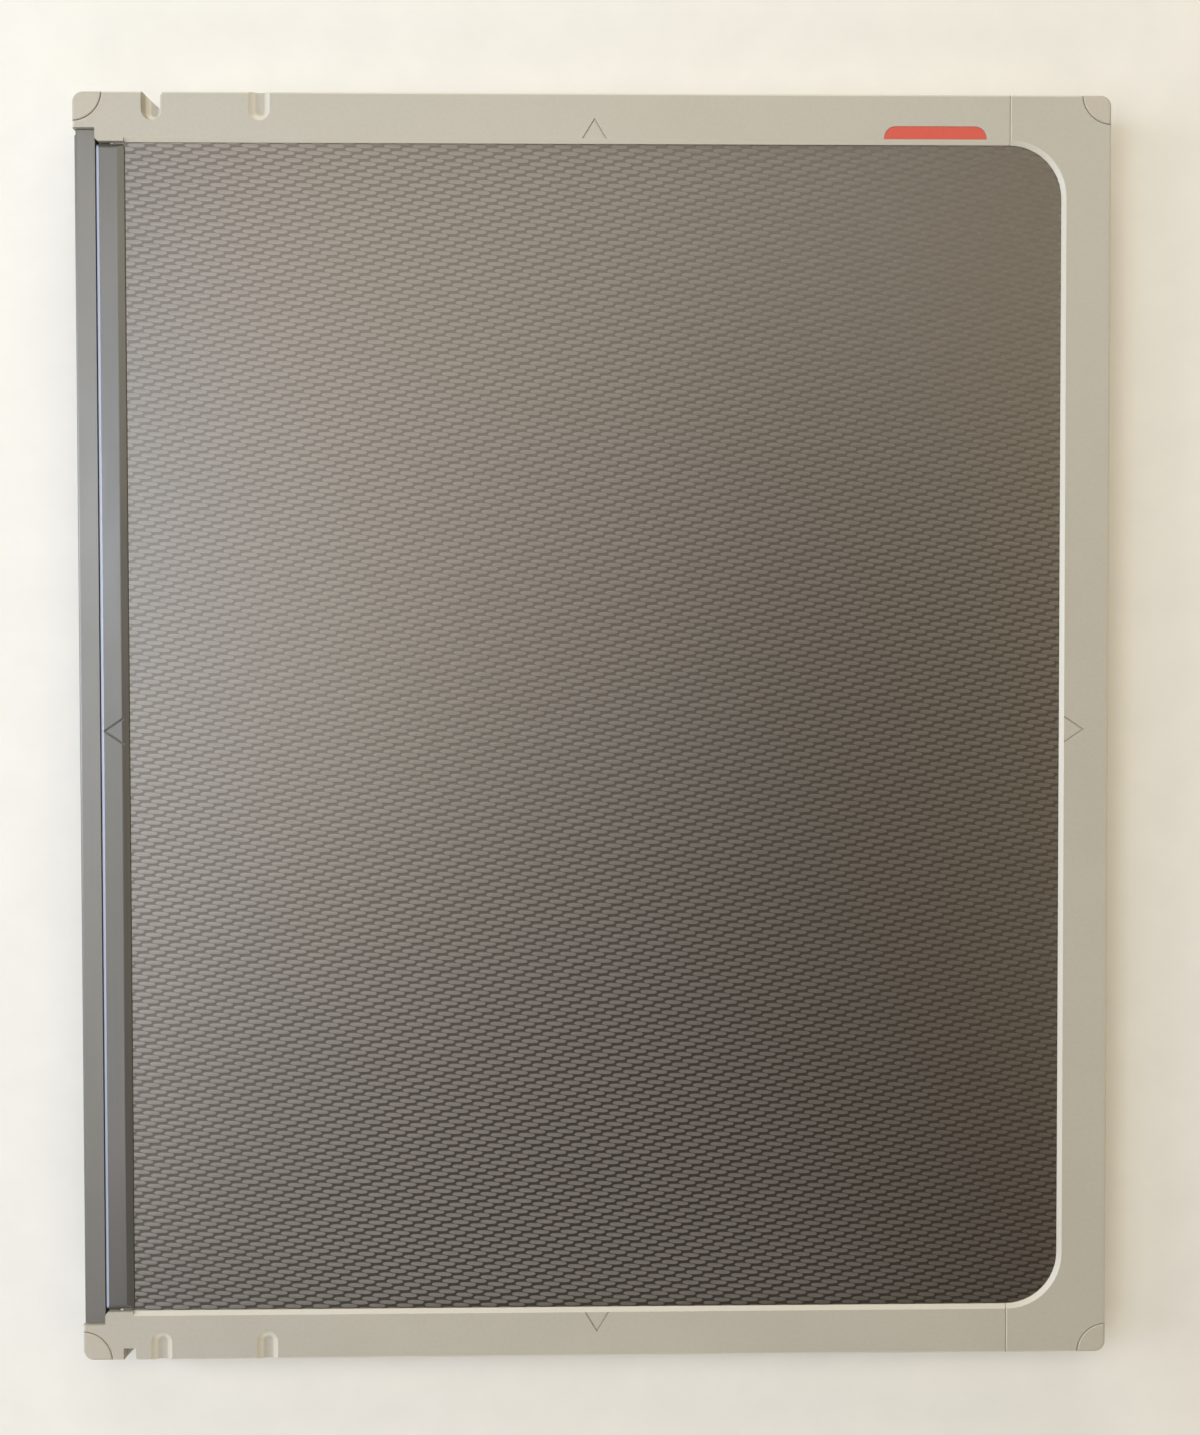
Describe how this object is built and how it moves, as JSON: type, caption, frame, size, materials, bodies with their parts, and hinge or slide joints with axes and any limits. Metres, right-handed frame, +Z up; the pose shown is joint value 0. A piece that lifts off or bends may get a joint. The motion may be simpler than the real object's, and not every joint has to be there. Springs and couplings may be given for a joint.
{
  "type": "x-ray film cassette",
  "caption": "Book-type radiographic film cassette: moulded frame round a woven carbon-fibre tube-side panel, long-side hinge, slide latches in the opening edge.",
  "frame": {"origin": "middle of the back face, on the surface the closed cassette lies on", "axes": "+X across, from the latch side to the hinge side; +Y along the long side, to the end with the red marker; +Z up through the tube side"},
  "size_m": [0.266, 0.326, 0.0145],
  "materials": {
    "frame_plastic": "fine-grained moulded plastic, warm light grey",
    "bumper_plastic": "smooth moulded plastic, slightly warmer than the frame",
    "back_plastic": "fine-grained moulded plastic, warm light grey",
    "lip_aluminium": "satin grey anodised extrusion",
    "bar_aluminium": "satin grey anodised extrusion, a shade darker",
    "panel_weave": "carbon-fibre satin weave in clear resin",
    "panel_foam": "rigid white foam core",
    "panel_inner": "black fibre laminate",
    "screen_coat": "white phosphor coat on a plastic base",
    "film_base": "blue-tinted film",
    "pad_foam": "dark open-cell foam",
    "lead": "dull rolled lead",
    "board": "dense fibre board, dark",
    "seal_felt": "black wool felt",
    "hinge_steel": "bright zinc-plated steel",
    "fastener_steel": "zinc-plated steel",
    "spring_steel": "hardened spring steel",
    "latch_steel": "ground steel bar",
    "button_plastic": "black moulded plastic",
    "marker_plastic": "red moulded plastic",
    "label_plastic": "plain pale plastic, bare"
  },
  "bodies": {
    "back_half": {"back_cover": "back_plastic", "back_label_plate": "label_plastic", "core_board": "board", "lead_foil": "lead", "foam_pad": "pad_foam", "back_screen": "screen_coat", "film_sheet": "film_base", "lip_bar": "lip_aluminium", "lip_bar_screws": "fastener_steel", "latch_seal": "seal_felt", "hinge_seal": "seal_felt", "detent_springs": "spring_steel", "hinge_leaf_back": "hinge_steel", "hinge_rivets_back": "fastener_steel", "hinge_pin": "hinge_steel"},
    "tube_half": {"end_frame": "frame_plastic", "top_rail": "frame_plastic", "bottom_rail": "frame_plastic", "corner_bumper_top_latch_side": "bumper_plastic", "corner_bumper_bottom_latch_side": "bumper_plastic", "corner_bumper_top_hinge_side": "bumper_plastic", "corner_bumper_bottom_hinge_side": "bumper_plastic", "edge_bar": "bar_aluminium", "panel_outer_skin": "panel_weave", "panel_core": "panel_foam", "panel_inner_skin": "panel_inner", "front_screen": "screen_coat", "id_blocker": "lead", "red_marker": "marker_plastic", "splice_plates": "fastener_steel", "splice_screws": "fastener_steel", "corner_brackets": "fastener_steel", "bracket_screws": "fastener_steel", "latch_strikes": "fastener_steel", "hinge_leaf_front": "hinge_steel", "hinge_rivets_front": "fastener_steel"},
    "latch_top": {"latch_slide_top": "latch_steel", "latch_button_top": "button_plastic"},
    "latch_bottom": {"latch_slide_bottom": "latch_steel", "latch_button_bottom": "button_plastic"}
  },
  "joints": [
    {"name": "tube_half_hinge", "type": "hinge", "parent": "back_half", "child": "tube_half", "pos_m": [0.1305, 0, 0.0026], "axis": [0, 1, 0], "range_deg": [0, 90]},
    {"name": "latch_top_slide", "type": "slide", "parent": "back_half", "child": "latch_top", "axis": [0, 1, 0], "range_m": [0, 0.002]},
    {"name": "latch_bottom_slide", "type": "slide", "parent": "back_half", "child": "latch_bottom", "axis": [0, -1, 0], "range_m": [0, 0.002]}
  ]
}
